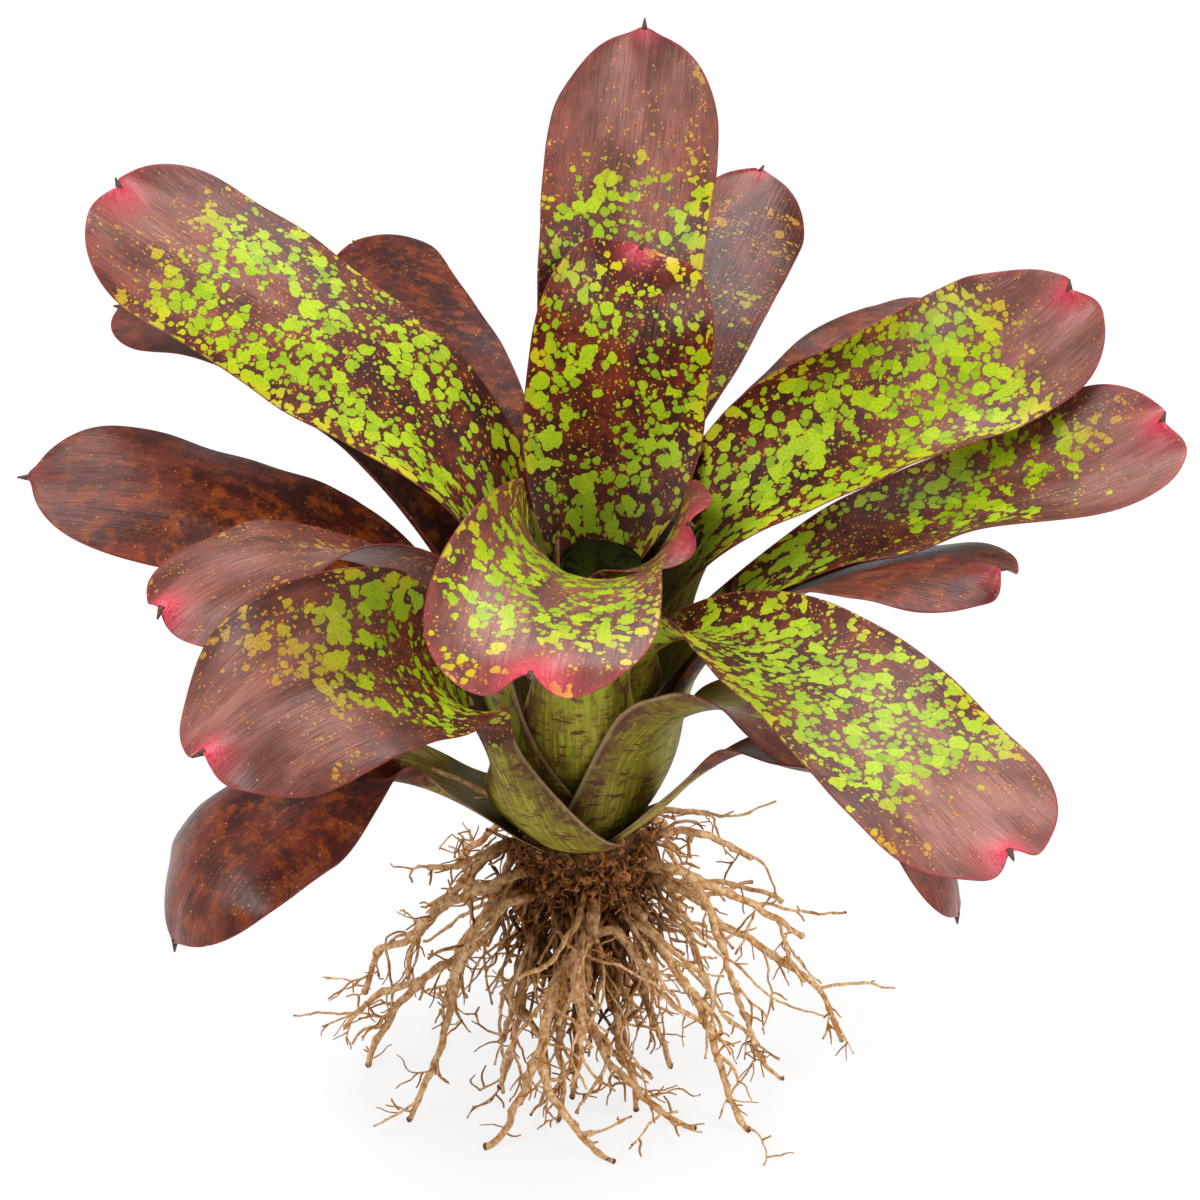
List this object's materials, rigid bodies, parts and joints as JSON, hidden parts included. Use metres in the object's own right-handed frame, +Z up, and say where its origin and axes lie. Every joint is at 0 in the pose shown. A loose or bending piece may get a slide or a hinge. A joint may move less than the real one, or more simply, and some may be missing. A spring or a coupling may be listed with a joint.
{
  "type": "bare-root bromeliad",
  "caption": "Bromeliad rosette of strap-shaped spotted maroon and green leaves round a central water cup, on a short stem that stands on its bare spreading roots.",
  "frame": {"origin": "centre of the bottom of the plant's bounding box, on the floor it stands on", "axes": "+Z up along the stem, the front of the plant towards -Y, +X to its right as seen from the front"},
  "size_m": [0.3964, 0.4292, 0.3652],
  "materials": {
    "leaf_spotted": "maroon leaf with many lime-green spots, soft waxy sheen",
    "leaf_plain": "plain maroon leaf with faint orange-brown mottling, soft waxy sheen",
    "stem": "brown fibrous short stem",
    "root": "dry tan-brown wiry root"
  },
  "bodies": {
    "root": {"leaf_back": "leaf_spotted", "leaf_back_left": "leaf_plain", "leaf_back_right": "leaf_plain", "leaf_back_right_under": "leaf_plain", "leaf_cup_back": "leaf_spotted", "leaf_cup_front": "leaf_spotted", "leaf_cup_right": "leaf_spotted", "leaf_front_left": "leaf_spotted", "leaf_front_right": "leaf_spotted", "leaf_front_under": "leaf_spotted", "leaf_heart": "leaf_spotted", "leaf_left": "leaf_plain", "leaf_left_low": "leaf_plain", "leaf_left_under": "leaf_plain", "leaf_lower_left": "leaf_plain", "leaf_lower_right": "leaf_plain", "leaf_right": "leaf_spotted", "leaf_right_low": "leaf_plain", "leaf_upper_left": "leaf_spotted", "leaf_upper_right": "leaf_spotted", "root_back_1": "root", "root_back_2": "root", "root_back_3": "root", "root_back_4": "root", "root_back_5": "root", "root_back_6": "root", "root_back_7": "root", "root_back_8": "root", "root_core_1_1": "root", "root_core_1_2": "root", "root_core_1_3": "root", "root_core_2_1": "root", "root_core_2_2": "root", "root_core_2_3": "root", "root_core_2_4": "root", "root_core_2_5": "root", "root_core_2_6": "root", "root_core_2_7": "root", "root_front": "root", "root_front_left": "root", "root_front_low": "root", "root_front_right": "root", "root_left": "root", "root_left_arch": "root", "root_left_short": "root", "root_right": "root", "root_right_arch": "root", "root_right_high": "root", "root_right_short": "root", "stem": "stem"}
  },
  "joints": []
}
